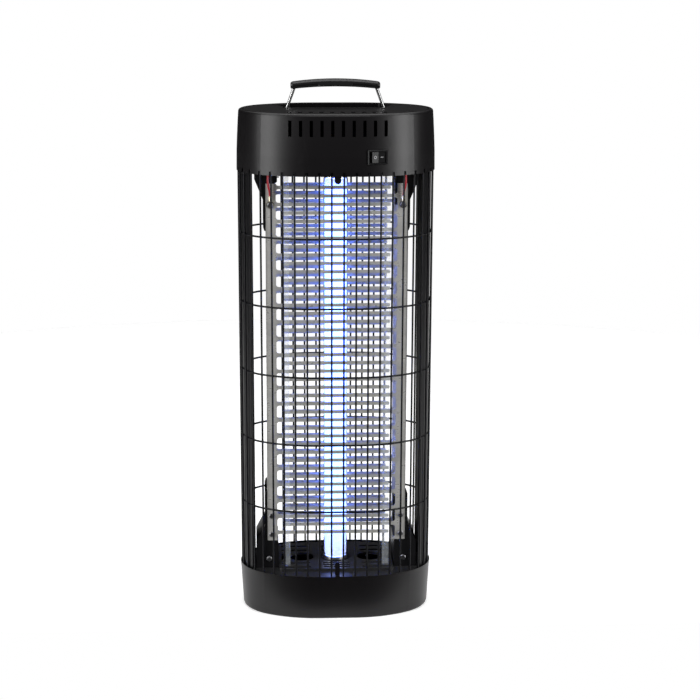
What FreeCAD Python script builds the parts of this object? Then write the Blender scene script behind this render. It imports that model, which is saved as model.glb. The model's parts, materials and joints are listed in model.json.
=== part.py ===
import FreeCAD, Part
import math
import os

os.makedirs("parts", exist_ok=True)
V = FreeCAD.Vector
X_AXIS = V(1, 0, 0)
Y_AXIS = V(0, 1, 0)
Z_AXIS = V(0, 0, 1)

# ---- driving dimensions, in millimetres: X right, Y back, z = 0 where the zapper stands ----
half_width = 105.0        # the oval plan, at the lip of the top housing
half_depth = 64.0
flat_run = 20.0           # half length of the straight stretch at the front and the back
front_radius = 110.0      # arcs between the straight stretch and the ends
total_height = 546.0      # to the lid; the raised handle stands above it
rim_z = 48.5              # upper edge of the base
lip_z = 482.0             # lower edge of the top housing
gap = 0.3                 # clearance between separate mouldings

wire_r = 1.0              # guard wires and rings
wire_count = 42
wire_inset_top = 1.8      # centre line of the upright wires, inside the oval
wire_inset_low = 2.9
wire_low, wire_high = 41.5, lip_z + 3.8
ring_levels = [416.0 - 74.0 * k for k in range(5)]
weld_depth = 0.25         # how far the rings sink into the uprights at the welds

bar_pitch = 9.0           # spacing of the electrode bars, which come from alternate sides
bar_height = 3.6
bar_count = 43
top_bar_z = 466.0
sheet = 1.0
comb_y = 27.5             # distance of each electrode grid from the middle plane
comb_inner, comb_outer = 64.0, 73.7
comb_low, comb_high = 79.0, 470.0
finger_reach = 57.0       # how far past the middle a finger goes
web_x = 74.2

spacer_inner, spacer_outer = 50.0, 57.0
spacer_depth = 4.0

lamp_r = 13.0             # 15 W tube, 26 mm in diameter and 437 mm between its end faces
lamp_low, lamp_high = 45.0, 482.0
lamp_cap = 8.5
pin_r, pin_length, pin_offset = 1.2, 7.0, 6.35
holder_r, holder_body = 16.4, 22.0
rotor_r = 10.4

deck_z, deck_top = 45.5, 47.5         # ledge inside the base rim
grille_top = 50.5
grille_half_x, grille_half_y = 62.0, 41.0
upper_deck_z = 484.0
upper_deck_top = 486.5

switch_x, switch_z = 40.8, 502.0
bezel_w, bezel_h = 21.0, 15.0
rocker_w, rocker_h = 15.0, 11.0
rocker_tilt = 9.0         # half of the rocker's travel, in degrees

handle_y, handle_z = 12.0, 541.0      # pivot line of the handle
bail_r = 1.7
grip_half = 47.4
grip_depth = 11.0

vent_pitch, vent_w = 11.0, 3.4
vent_low, vent_high = 523.0, 539.5
vent_count = 10
lid_z = 543.0             # underside of the lid
lid_inset = 7.2

tray_half_x = 66.0
tray_front_y, tray_back_y = -44.0, 46.0
tray_low, tray_high = 4.4, 36.0
tray_wall = 1.6

# ---- the oval plan: straight runs, front arcs and end arcs, all tangent ----
front_drop = front_radius - half_depth
end_centre = (flat_run ** 2 + front_drop ** 2 - (front_radius - half_width) ** 2) / (
    2 * (flat_run + front_radius - half_width))
end_radius = half_width - end_centre
join_angle = math.atan2(end_centre - flat_run, front_drop)


def oval_parts(inset):
    """Lengths of the straight run, the front arc and the end arc in one quarter."""
    front_arc = (front_radius - inset) * join_angle
    end_arc = (end_radius - inset) * (math.pi / 2 - join_angle)
    return flat_run, front_arc, end_arc


def oval_point(s, inset):
    """Point and outward direction at arc length s from the front centre, towards +X."""
    run, front_arc, end_arc = oval_parts(inset)
    quarter = run + front_arc + end_arc
    s = s % (4 * quarter)
    flip_x = s > 2 * quarter
    if flip_x:
        s = 4 * quarter - s
    flip_y = s > quarter
    if flip_y:
        s = 2 * quarter - s
    if s <= run:
        normal = V(0, -1, 0)
        point = V(s, inset - half_depth, 0)
    elif s <= run + front_arc:
        angle = (s - run) / (front_radius - inset)
        normal = V(math.sin(angle), -math.cos(angle), 0)
        point = V(flat_run, front_drop, 0) + normal * (front_radius - inset)
    else:
        angle = join_angle + (s - run - front_arc) / (end_radius - inset)
        normal = V(math.sin(angle), -math.cos(angle), 0)
        point = V(end_centre, 0, 0) + normal * (end_radius - inset)
    for vector in (point, normal):
        vector.x = -vector.x if flip_x else vector.x
        vector.y = -vector.y if flip_y else vector.y
    return point, normal


def oval_back_y(x, inset=0.0):
    """Y of the back of the oval at a given x, within the straight run and the front arcs."""
    beyond = max(abs(x) - flat_run, 0.0)
    return math.sqrt((front_radius - inset) ** 2 - beyond ** 2) - front_drop


def oval_wire(z, inset=0.0):
    run, front_arc, end_arc = oval_parts(inset)
    quarter = run + front_arc + end_arc

    def at(s):
        return oval_point(s, inset)[0] + V(0, 0, z)

    def arc(start, length):
        return Part.Arc(at(start), at(start + length / 2), at(start + length)).toShape()

    right = [arc(run, front_arc), arc(run + front_arc, 2 * end_arc), arc(quarter + end_arc, front_arc)]
    back = Part.LineSegment(at(2 * quarter - run), at(2 * quarter + run)).toShape()
    left = [arc(2 * quarter + run, front_arc), arc(3 * quarter - end_arc, 2 * end_arc),
            arc(3 * quarter + end_arc, front_arc)]
    front = Part.LineSegment(at(-run), at(run)).toShape()
    return Part.Wire(right + [back] + left + [front])


def oval_prism(low, high, inset=0.0):
    return Part.Face(oval_wire(low, inset)).extrude(V(0, 0, high - low))


def oval_band(low, high, outer_inset, inner_inset):
    return oval_prism(low, high, outer_inset).cut(oval_prism(low - 1, high + 1, inner_inset))


def oval_loft(stations):
    """Solid through ovals given as (z, inset), from the lowest up."""
    layers = []
    for (z0, inset0), (z1, inset1) in zip(stations, stations[1:]):
        layers.append(Part.makeLoft([oval_wire(z0, inset0), oval_wire(z1, inset1)], True, True))
    return layers[0].multiFuse(layers[1:]) if len(layers) > 1 else layers[0]


# ---- small helpers ----
def box(x0, x1, y0, y1, z0, z1):
    return Part.makeBox(x1 - x0, y1 - y0, z1 - z0, V(x0, y0, z0))


def cylinder(r, length, base, axis=Z_AXIS):
    return Part.makeCylinder(r, length, base, axis)


def round_box(x0, x1, y0, y1, z0, z1, r):
    """Box with its four upright edges rounded."""
    solid = box(x0, x1, y0, y1, z0, z1)
    upright = [e for e in solid.Edges if abs(e.tangentAt(e.FirstParameter).z) > 0.99]
    return solid.makeFillet(r, upright)


def slot_x(x0, x1, y, width, z0, z1):
    """Cutter along X with half-round ends."""
    r = width / 2
    ends = [cylinder(r, z1 - z0, V(x, y, z0)) for x in (x0 + r, x1 - r)]
    return box(x0 + r, x1 - r, y - r, y + r, z0, z1).multiFuse(ends)


def mirror_x(shape):
    return shape.mirror(V(0, 0, 0), X_AXIS)


def both_sides(shape):
    return [shape, mirror_x(shape)]


def cut_all(shape, cutters):
    return shape.cut(Part.makeCompound(cutters))


def pan_screw(head_r, head_h, shank_r, length, seat, direction):
    """Cross-head screw; direction points from the head into the work."""
    head = cylinder(head_r, head_h, seat, direction * -1)
    rim = [e for e in head.Edges if e.Length > 4 and (e.CenterOfMass - seat).Length > head_h - 0.1]
    head = head.makeFillet(head_h * 0.4, rim[:1])
    side = V(direction.y, direction.z, direction.x)
    other = direction.cross(side)
    arm, half_slot = head_r * 0.55, 0.35
    for along, across in ((side, other), (other, side)):
        corner = seat - direction * head_h * 1.05 - along * arm - across * half_slot
        points = [corner, corner + along * 2 * arm, corner + along * 2 * arm + across * 2 * half_slot,
                  corner + across * 2 * half_slot, corner]
        head = head.cut(Part.Face(Part.makePolygon(points)).extrude(direction * head_h * 0.55))
    return head.fuse(cylinder(shank_r, length, seat, direction))


def bent_path(points, cuts):
    """Straight runs joined by tangent arcs; each cut is where its arc starts before the corner."""
    edges = []
    start = points[0]
    for before, corner, after, cut in zip(points, points[1:], points[2:], cuts):
        run_in = V(corner - before).normalize()
        run_out = V(after - corner).normalize()
        half_turn = run_in.getAngle(run_out) / 2
        radius = cut / math.tan(half_turn)
        inward = V(run_out - run_in).normalize()
        first = corner - run_in * cut
        last = corner + run_out * cut
        middle = corner + inward * radius * (1 / math.cos(half_turn) - 1)
        edges.append(Part.LineSegment(start, first).toShape())
        edges.append(Part.Arc(first, middle, last).toShape())
        start = last
        print("bend radius %.1f mm" % radius)
    edges.append(Part.LineSegment(start, points[-1]).toShape())
    return Part.Wire(edges)


def swept_round(path, points, r):
    circle = Part.Wire(Part.makeCircle(r, points[0], points[1] - points[0]))
    solid = path.makePipeShell([circle], True, False)
    print("volume %.1f, section times length %.1f" % (solid.Volume, math.pi * r * r * path.Length))
    return solid


def export(name, shapes):
    solids = []
    for shape in shapes if isinstance(shapes, list) else [shapes]:
        solids += shape.Solids
    whole = solids[0] if len(solids) == 1 else Part.makeCompound(solids)
    whole.exportStep("parts/%s.step" % name)
    print("%-24s %3d solids %9.0f mm3 valid %s" % (name, len(solids), whole.Volume, whole.isValid()))


# ---- guard cage ----
def wire_inset(z):
    share = (z - wire_low) / (wire_high - wire_low)
    return wire_inset_low + (wire_inset_top - wire_inset_low) * share


def wire_place(index, z):
    """Centre and outward direction of one upright wire at a height."""
    inset = wire_inset(z)
    pitch = 4 * sum(oval_parts(inset)) / wire_count
    point, normal = oval_point((index + 0.5) * pitch, inset)
    return point + V(0, 0, z), normal


def guard_wires():
    wires = []
    for index in range(wire_count):
        foot = wire_place(index, wire_low)[0]
        top = wire_place(index, wire_high)[0]
        wires.append(cylinder(wire_r, (top - foot).Length, foot, top - foot))
    return wires


def guard_ring(z):
    inset = wire_inset(z) + 2 * wire_r - weld_depth
    circle = Part.Wire(Part.makeCircle(wire_r, V(0, inset - half_depth, z), X_AXIS))
    start = V(0, inset - half_depth, z)
    curved = oval_wire(z, inset).OrderedEdges[:-1]
    first = Part.LineSegment(start, start + V(flat_run, 0, 0)).toShape()
    last = Part.LineSegment(start - V(flat_run, 0, 0), start).toShape()
    return Part.Wire([first] + curved + [last]).makePipeShell([circle], True, False)


# ---- top housing ----
def switch_frame():
    """Placement of the switch panel: a flat pad cut into the curved front wall, facing -Y."""
    turn = math.asin((switch_x - flat_run) / front_radius)
    surface = V(switch_x, -oval_back_y(switch_x, 0.2), switch_z)
    inward = V(-math.sin(turn), math.cos(turn), 0)
    return FreeCAD.Placement(surface + inward * 0.6, FreeCAD.Rotation(Z_AXIS, math.degrees(turn)))


def on_panel(shape):
    shape.Placement = switch_frame().multiply(shape.Placement)
    return shape


def vent_centres():
    return [vent_pitch * (k - (vent_count - 1) / 2) for k in range(vent_count)]


gland_x, gland_z, gland_r = -46.0, 498.0, 6.0
body_half_w, body_half_h = 9.5, 6.4        # switch body behind its bezel
pocket_half_x = 50.6
pocket_front_y, pocket_back_y = 8.0, 49.6
pocket_floor = 533.5
pocket_corner = 4.0
lid_screw_x, lid_screw_y = 76.0, -28.0
boss_inset, boss_r, boss_height = 9.0, 4.2, 16.0
screw_hole_r = 1.5
lid_screw_sink = 1.4      # depth of the seat of each lid screw
lid_slot_half, lid_slot_front, lid_slot_back = 2.2, -45.0, -37.0


def gland_frame():
    """Point on the rear wall and its outward direction, where the cord gland sits."""
    turn = math.asin((-gland_x - flat_run) / front_radius)
    return V(gland_x, oval_back_y(gland_x, 0.2), gland_z), V(-math.sin(turn), math.cos(turn), 0)


def housing_boss_places():
    quarter = sum(oval_parts(boss_inset))
    return [oval_point(k * quarter + quarter / 2, boss_inset)[0] for k in range(4)]


def wire_groove(index):
    """Groove in the lip for the top of one guard wire, open to the outside."""
    centre, normal = wire_place(index, lip_z)
    half = wire_r + gap
    side = V(-normal.y, normal.x, 0) * half
    down = V(0, 0, -1)
    corner = centre + side + down
    points = [corner, corner + normal * 4, corner + normal * 4 - side * 2, corner - side * 2, corner]
    height = wire_high - lip_z + 1 + gap
    mouth = Part.Face(Part.makePolygon(points)).extrude(V(0, 0, height))
    return cylinder(half, height, centre + down).fuse(mouth)


# profiles of the housing wall, as (z, inset) from the lip up
housing_profile = [(lip_z, 0.0), (502.0, 0.2), (518.0, 0.8), (526.0, 1.2), (534.0, 1.6), (543.8, 2.2),
                   (545.3, 2.8), (total_height, 4.0)]
lip_inside, lip_top = 5.0, 494.0
cavity_profile = [(lip_top, lip_inside), (497.0, 3.0), (534.0, 4.6), (540.0, 6.2)]
ledge_inside = 10.0       # the ledge that the lid rests on
tab_half, tab_thick = 3.4, 2.3
tab_drop = 4.6            # how far the front tab hangs below the lip, to the centre of its round end


def top_housing():
    cavity = oval_prism(lip_z - 1, lip_top, lip_inside).fuse(oval_loft(cavity_profile))
    cavity = cavity.fuse(oval_prism(cavity_profile[-1][0], lid_z, ledge_inside))
    cavity = cavity.fuse(oval_prism(lid_z, total_height + 1, lid_inset - 0.5))
    shell = oval_loft(housing_profile).cut(cavity)
    shell = cut_all(shell, [wire_groove(index) for index in range(wire_count)])
    vents = [box(x - vent_w / 2, x + vent_w / 2, -half_depth - 2, -half_depth + 16, vent_low, vent_high)
             for x in vent_centres()]
    shell = cut_all(shell, vents)
    room = 2.0
    recess_x = pocket_half_x + room
    recess = round_box(-recess_x, recess_x, pocket_front_y - room, pocket_back_y + room,
                       pocket_floor - 3.5, lid_z + 0.01, pocket_corner)
    pad = on_panel(box(-bezel_w / 2 - gap, bezel_w / 2 + gap, -6, 0, -bezel_h / 2 - gap, bezel_h / 2 + gap))
    hole = on_panel(box(-body_half_w - gap, body_half_w + gap, -1, 12, -body_half_h - gap, body_half_h + gap))
    point, outward = gland_frame()
    cord_hole = cylinder(gland_r, 14, point - outward * 10, outward)
    shell = cut_all(shell, [pad, hole, cord_hole, recess])
    for place in housing_boss_places():
        boss = cylinder(boss_r, boss_height, place + V(0, 0, upper_deck_top))
        shell = shell.fuse(boss).cut(cylinder(screw_hole_r, 12, place + V(0, 0, upper_deck_top - 1)))
    tab_front = 2.6 - half_depth
    tab = box(-tab_half, tab_half, tab_front, tab_front + tab_thick, lip_z - tab_drop, lip_z + 2)
    tip = cylinder(tab_half, tab_thick, V(0, tab_front, lip_z - tab_drop), Y_AXIS)
    return shell.fuse(tab.fuse(tip))


def handle_pocket():
    """Recess that takes the folded handle, with a notch for each leg and a scoop at each end."""
    pocket = round_box(-pocket_half_x, pocket_half_x, pocket_front_y, pocket_back_y, pocket_floor, 550,
                       pocket_corner)
    notch = box(pocket_half_x - 5, 55.6, handle_y - 3.2, handle_y + 20, handle_z - 3.2, 550)
    scoop_start, scoop_end = 49.0, 62.5
    scoop_outline = [V(scoop_start, 10, 542.8), V(scoop_end, 10, total_height), V(scoop_end, 10, 550),
                     V(scoop_start, 10, 550), V(scoop_start, 10, 542.8)]
    scoop = Part.Face(Part.makePolygon(scoop_outline)).extrude(V(0, 28, 0))
    return pocket.multiFuse(both_sides(notch) + both_sides(scoop))


def pivot_hole():
    return cylinder(bail_r + 0.06, 8.5, V(54.0, handle_y, handle_z), X_AXIS)


def top_lid():
    lid = oval_loft([(lid_z, lid_inset), (total_height - 0.6, lid_inset), (total_height, lid_inset + 0.6)])
    thick = 1.6
    tub_x = pocket_half_x + thick
    tub = round_box(-tub_x, tub_x, pocket_front_y - thick, pocket_back_y + thick,
                    pocket_floor - thick, lid_z + 1, pocket_corner)
    bearing = box(pocket_half_x - 1, 64.5, handle_y - 5, handle_y + 5, handle_z - 5, lid_z + 1)
    skirt = box(pocket_half_x - 1, 57.2, handle_y - 5, handle_y + 22, handle_z - 4.8, lid_z + 1)
    under_scoop = box(pocket_half_x - 1, 64.5, 8.4, 39.6, lid_z - 2.2, lid_z + 1)
    lid = lid.multiFuse([tub] + both_sides(bearing) + both_sides(skirt) + both_sides(under_scoop))
    lid = lid.cut(handle_pocket())
    cutters = both_sides(pivot_hole())
    cutters += both_sides(cylinder(3.7, 3, V(lid_screw_x, lid_screw_y, total_height - lid_screw_sink)))
    cutters += both_sides(cylinder(1.8, 9, V(lid_screw_x, lid_screw_y, lid_z - 2)))
    for x in vent_centres():
        cutters.append(box(x - lid_slot_half, x + lid_slot_half, lid_slot_front, lid_slot_back,
                           lid_z - 1, total_height + 1))
    return cut_all(lid, cutters)


def lid_screws():
    seat = V(lid_screw_x, lid_screw_y, total_height - lid_screw_sink)
    return both_sides(pan_screw(3.2, 1.3, 1.5, 11, seat, V(0, 0, -1)))


# ---- folding handle ----
bail_top_z = 570.6
foot, knee, shoulder = 61.6, 52.9, 42.0        # X of the bends and the ends of the bail
bail_cuts = [2.6, 4.0, 4.0, 2.6]


def handle_bail():
    points = [V(-foot, handle_y, handle_z), V(-knee, handle_y, handle_z), V(-shoulder, handle_y, bail_top_z),
              V(shoulder, handle_y, bail_top_z), V(knee, handle_y, handle_z), V(foot, handle_y, handle_z)]
    return swept_round(bent_path(points, bail_cuts), points, bail_r)


def handle_grip(bail):
    """Arched moulding round the top run of the bail, with a raised middle section."""
    end_low, end_high, mid_low, mid_high = 565.2, 572.6, 568.0, 576.0
    y0 = handle_y - grip_depth / 2
    low_arc = Part.Arc(V(-grip_half, y0, end_low), V(0, y0, mid_low), V(grip_half, y0, end_low))
    high_arc = Part.Arc(V(grip_half, y0, end_high), V(0, y0, mid_high), V(-grip_half, y0, end_high))
    sides = [Part.LineSegment(V(x, y0, z0), V(x, y0, z1)).toShape()
             for x, z0, z1 in ((grip_half, end_low, end_high), (-grip_half, end_high, end_low))]
    outline = Part.Wire([low_arc.toShape(), sides[0], high_arc.toShape(), sides[1]])
    body = Part.Face(outline).extrude(V(0, grip_depth, 0))
    body = body.makeFillet(2.4, [e for e in body.Edges if e.Length > 50])
    return body.cut(bail)


# ---- rocker switch ----
cup_half_w, cup_half_h = 8.75, 5.8
paddle_face = -1.2        # the line where the two flats meet, in front of the panel
pivot_depth = 3.4
bezel_proud, body_back = 2.2, 17.0
blade_start, blade_half_h = 14.0, 2.4


def terminal_blades(end):
    """Three upright blades at the back of the switch."""
    return [box(x - 0.4, x + 0.4, blade_start, end, -blade_half_h, blade_half_h) for x in (-6.0, 0.0, 6.0)]


def switch_body():
    bezel = box(-bezel_w / 2, bezel_w / 2, -bezel_proud, 0, -bezel_h / 2, bezel_h / 2)
    bezel = bezel.makeChamfer(0.7, [e for e in bezel.Edges if abs(e.CenterOfMass.y + bezel_proud) < 1e-6])
    body = bezel.fuse(box(-body_half_w, body_half_w, -0.5, body_back, -body_half_h, body_half_h))
    body = body.cut(box(-cup_half_w, cup_half_w, -3, 9, -cup_half_h, cup_half_h))
    body = cut_all(body, terminal_blades(body_back + 1))
    return on_panel(body)


def power_rocker():
    """Paddle of two flats that meet at a shallow V, tilted to its rest position."""
    half = rocker_w / 2
    rise = half * math.tan(math.radians(rocker_tilt))
    edge = paddle_face - rise
    corners = [(-half, edge), (0, paddle_face), (half, edge),
               (half - 1.2, pivot_depth), (1.2 - half, pivot_depth)]
    outline = Part.makePolygon([V(x, y, 0) for x, y in corners + corners[:1]])
    paddle = Part.Face(outline).extrude(V(0, 0, rocker_h))
    paddle = paddle.fuse(cylinder(1.8, rocker_h, V(0, pivot_depth, 0)))
    paddle.translate(V(0, 0, -rocker_h / 2))
    paddle.rotate(V(0, pivot_depth, 0), Z_AXIS, rocker_tilt)
    return on_panel(Part.makeCompound([paddle.removeSplitter()]))


def switch_terminals():
    return [on_panel(blade) for blade in terminal_blades(24)]


# ---- electrodes ----
notch_corner = 2.8
comb_screw_x = 70.0
upper_screw_z, lower_screw_levels = 448.0, (107.0, 86.0)


def finger_levels(side, front):
    """Bars alternate between the two combs; the rear grid hangs half a pitch lower."""
    first = 0 if (side < 0) == front else 1
    shift = 0.0 if front else -bar_pitch / 2
    return [top_bar_z + shift - bar_pitch * k for k in range(first, bar_count, 2)]


def comb(side, front):
    """Flat stamped comb: an upright strip with rounded notches between its fingers."""
    y0 = (-comb_y if front else comb_y) - sheet / 2
    root = comb_inner - 4
    plate = box(root, comb_outer, y0, y0 + sheet, comb_low, comb_high)
    levels = finger_levels(side, front)
    tip_r = bar_height / 2
    fingers = []
    for z in levels:
        fingers.append(box(tip_r - finger_reach, root + 1, y0, y0 + sheet, z - tip_r, z + tip_r))
        fingers.append(cylinder(tip_r, sheet, V(tip_r - finger_reach, y0, z), Y_AXIS))
    notches = []
    above = [levels[0] + 2 * bar_pitch] + levels
    below = levels + [levels[-1] - 2 * bar_pitch]
    for upper, lower in zip(above, below):
        notch = box(root - 12, comb_inner, y0 - 1, y0 + 2, lower + tip_r, upper - tip_r)
        inner = [e for e in notch.Edges if abs(e.CenterOfMass.x - comb_inner) < 1e-6
                 and abs(e.tangentAt(e.FirstParameter).y) > 0.99]
        notches.append(notch.makeFillet(notch_corner, inner))
    shape = cut_all(plate, notches).multiFuse(fingers)
    screw_levels = (upper_screw_z,) + lower_screw_levels
    holes = [cylinder(1.7, 3, V(comb_screw_x, y0 - 1, z), Y_AXIS) for z in screw_levels]
    shape = cut_all(shape, holes).removeSplitter()
    return shape if side > 0 else mirror_x(shape)


def comb_web(side):
    """Upright strip that joins the front and rear combs of one side."""
    web = box(web_x - sheet / 2, web_x + sheet / 2, -comb_y, comb_y, comb_low, comb_high)
    return web if side > 0 else mirror_x(web)


def finger_spacer(side, front):
    """Clear strip with a slot for every bar of its grid."""
    middle = -comb_y if front else comb_y
    strip = box(spacer_inner, spacer_outer, middle - spacer_depth / 2, middle + spacer_depth / 2,
                grille_top, upper_deck_z)
    clear = 0.12
    half_y = sheet / 2 + clear
    half_z = bar_height / 2 + clear
    slots = []
    for z in sorted(finger_levels(1, front) + finger_levels(-1, front)):
        slots.append(box(spacer_inner - 1, spacer_outer + 1, middle - half_y, middle + half_y,
                         z - half_z, z + half_z))
    strip = cut_all(strip, slots)
    return strip if side > 0 else mirror_x(strip)


insulator_y = comb_y - sheet / 2
foot_screw_x, foot_screw_z = 73.0, 58.0


def comb_screw_holes(levels):
    """Pilot holes for the comb screws, from the front and from the rear."""
    start = insulator_y + 1
    holes = [cylinder(screw_hole_r, 9, V(comb_screw_x, -start, z), Y_AXIS) for z in levels]
    return holes + [cylinder(screw_hole_r, 9, V(comb_screw_x, start, z), V(0, -1, 0)) for z in levels]


def lower_insulator():
    """Foot on the ledge, sloping gusset, outer leg, and the block that the combs screw to."""
    points = [(63, deck_top), (87, deck_top), (87, 77), (77.5, 95), (77.5, 130), (76.2, 134), (74.8, 134),
              (74.8, comb_low - 0.2), (73.6, comb_low - 0.2), (73.6, 114), (65, 114), (65, 79), (63, 77)]
    body = Part.Face(Part.makePolygon([V(x, -insulator_y, z) for x, z in points + points[:1]]))
    body = body.extrude(V(0, 2 * insulator_y, 0))
    body = body.cut(box(40, 80, -20, 20, 80, 140))
    holes = comb_screw_holes(lower_screw_levels)
    holes.append(cylinder(screw_hole_r, 9, V(foot_screw_x, -insulator_y - 1, foot_screw_z), Y_AXIS))
    return cut_all(body, holes)


def upper_insulator():
    points = [(62.5, upper_deck_z), (86.5, upper_deck_z), (86.5, 475), (77.5, 453), (77.5, 424), (76.2, 420),
              (74.8, 420), (74.8, comb_high + 0.2), (73.6, comb_high + 0.2), (73.6, 440), (65, 440),
              (65, 470), (62.5, 472)]
    body = Part.Face(Part.makePolygon([V(x, -insulator_y, z) for x, z in points + points[:1]]))
    body = body.extrude(V(0, 2 * insulator_y, 0))
    body = body.cut(box(40, 80, -20, 20, 410, 469))
    return cut_all(body, comb_screw_holes([upper_screw_z]))


def comb_screws():
    outer_face = comb_y + sheet / 2
    screws = []
    for z in (upper_screw_z,) + lower_screw_levels:
        # the front upper screws sit on a ring terminal
        lift = 0.8 if z == upper_screw_z else 0.0
        screws += both_sides(pan_screw(3.0, 1.9, 1.5, 7, V(comb_screw_x, -outer_face - lift, z), Y_AXIS))
        screws += both_sides(pan_screw(3.0, 1.9, 1.5, 7, V(comb_screw_x, outer_face, z), V(0, -1, 0)))
    return screws


def foot_screws():
    return both_sides(pan_screw(3.0, 1.9, 1.5, 7, V(foot_screw_x, -insulator_y, foot_screw_z), Y_AXIS))


lead_r = 1.2
barrel_y, barrel_floor = -31.1, 453.4
lead_points = [V(49, 24, 502.9), V(55.5, 14, 502.9), V(61.5, 1, 499.5), V(65, -12, 495),
               V(68.2, -23.5, 491.5), V(71.2, -31, 485), V(72.4, -33.4, 476.5), V(71.8, -32.9, 468),
               V(comb_screw_x, barrel_y, 461),
               V(comb_screw_x, barrel_y, barrel_floor)]


def high_voltage_lead(side):
    """Insulated lead from the board, through the deck, down to the ring terminal."""
    points = [V(side * p.x, p.y, p.z) for p in lead_points]
    runs = [(b - a).Length for a, b in zip(points, points[1:])]
    cuts = [0.45 * min(before, after) for before, after in zip(runs, runs[1:])]
    return swept_round(bent_path(points, cuts), points, lead_r)


def ring_terminals():
    face = -comb_y - sheet / 2
    ring = cylinder(4.0, 0.8, V(comb_screw_x, face - 0.8, upper_screw_z), Y_AXIS)
    neck_low = upper_screw_z + 3.3
    neck = box(comb_screw_x - 1.4, comb_screw_x + 1.4, face - 3.0, face, neck_low, neck_low + 1.6)
    barrel = cylinder(1.8, 5.0, V(comb_screw_x, barrel_y, barrel_floor - 1.2))
    terminal = ring.multiFuse([neck, barrel])
    terminal = terminal.cut(cylinder(1.55, 6, V(comb_screw_x, face - 3, upper_screw_z), Y_AXIS))
    terminal = terminal.cut(cylinder(lead_r + 0.05, 8, V(comb_screw_x, barrel_y, barrel_floor)))
    return both_sides(terminal)


# ---- side columns ----
def side_column():
    """Curved wall that joins the two decks at one end of the oval, inside the guard."""
    band = oval_band(deck_top, upper_deck_z, 6.3, 8.8)
    return band.common(box(89.5, half_width, -half_depth, half_depth, deck_top, upper_deck_z))


# ---- lamp and its holders ----
def uv_lamp():
    length = lamp_high - lamp_low - 2 * lamp_cap
    glass = cylinder(lamp_r, length, V(0, 0, lamp_low + lamp_cap))
    glass = glass.makeChamfer(0.6, [e for e in glass.Edges if e.Length > 50 and len(e.Vertexes) == 1])
    return glass.cut(cylinder(lamp_r - 1.0, length + 2, V(0, 0, lamp_low + lamp_cap - 1)))


def lamp_caps():
    return [cylinder(lamp_r, lamp_cap, V(0, 0, z)) for z in (lamp_low, lamp_high - lamp_cap)]


def lamp_pins():
    places = [V(x, 0, z) for x in (-pin_offset, pin_offset) for z in (lamp_low - pin_length, lamp_high)]
    return [cylinder(pin_r, pin_length, place) for place in places]


def turn_over(shape):
    """The upper holder is the lower one turned end over end."""
    shape = shape.copy()
    shape.rotate(V(0, 0, (lamp_low + lamp_high) / 2), X_AXIS, 180)
    return shape


def lower_rotor():
    """Insert that the pins stand in; it turns with the tube."""
    rotor = cylinder(rotor_r, pin_length + 0.7, V(0, 0, lamp_low - pin_length - 1.0))
    pin_holes = [cylinder(pin_r, 9, V(x, 0, lamp_low - pin_length)) for x in (-pin_offset, pin_offset)]
    return cut_all(rotor, pin_holes)


ear_low, ear_high, ear_x = lamp_low - 8.0, lamp_low - 5.0, 20.5


def lower_holder():
    body = cylinder(holder_r, holder_body + 6.3, V(0, 0, lamp_low - holder_body))
    body = body.fuse(round_box(-25, 25, -5, 5, ear_low, ear_high, 4))
    cutters = [cylinder(lamp_r + 0.6, 20, V(0, 0, lamp_low - gap)),
               cylinder(rotor_r + 0.06, pin_length + 2, V(0, 0, lamp_low - pin_length - 1.3))]
    cutters += [cylinder(1.7, 8, V(x, 0, ear_low - 1)) for x in (-ear_x, ear_x)]
    return cut_all(body, cutters)


def holder_screws():
    screws = []
    for x in (-ear_x, ear_x):
        screws.append(pan_screw(2.6, 1.5, 1.5, 10, V(x, 0, ear_low), Z_AXIS))
        screws.append(turn_over(pan_screw(2.6, 1.5, 1.5, 5.8, V(x, 0, ear_low), Z_AXIS)))
    return screws


# ---- decks ----
post_places = [V(x, y, 0) for x in (-78, 78) for y in (-21, 21)]
plate_low, plate_top = 2.6, 4.0
grille_hole_r = 13.25
slot_width = 4.6
outer_slot_rows = (-35.0, -21.5, 21.5, 35.0)
middle_slot_rows = (-28.2, 28.2)
lead_hole_x, lead_hole_y = 71.2, -31.4


def base_deck():
    """Ledge inside the base rim, with a raised grille in the middle and posts under it."""
    step = round_box(-grille_half_x, grille_half_x, -grille_half_y, grille_half_y, deck_z, grille_top, 3)
    under = round_box(2 - grille_half_x, grille_half_x - 2, 2 - grille_half_y, grille_half_y - 2,
                      deck_z - 1, grille_top - 2, 2)
    deck = oval_prism(deck_z, deck_top, 4.6).fuse(step).cut(under)
    bosses = [cylinder(3.4, grille_top - 2 - ear_high, V(x, 0, ear_high)) for x in (-ear_x, ear_x)]
    posts = [cylinder(3.8, deck_z - plate_top, place + V(0, 0, plate_top)) for place in post_places]
    deck = deck.multiFuse(bosses + posts)
    low, high = deck_z - 3, grille_top + 1
    cuts = [cylinder(holder_r + 0.2, 20, V(0, 0, ear_high - 1))]
    for y in outer_slot_rows:
        cuts += both_sides(slot_x(27.5, 60, y, slot_width, low, high))
    for y in outer_slot_rows + middle_slot_rows:
        cuts.append(slot_x(-15, 15, y, slot_width, low, high))
    cuts += both_sides(cylinder(grille_hole_r, high - low, V(37, 0, low)))
    bite = cylinder(grille_hole_r, high - low, V(67, 0, low)).common(box(54, 59.5, -20, 20, low, high))
    cuts += both_sides(bite)
    cuts += [cylinder(1.5, 9, V(x, 0, ear_high - 1)) for x in (-ear_x, ear_x)]
    cuts += [cylinder(1.5, 14, place + V(0, 0, plate_low)) for place in post_places]
    return cut_all(deck, cuts).removeSplitter()


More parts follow.
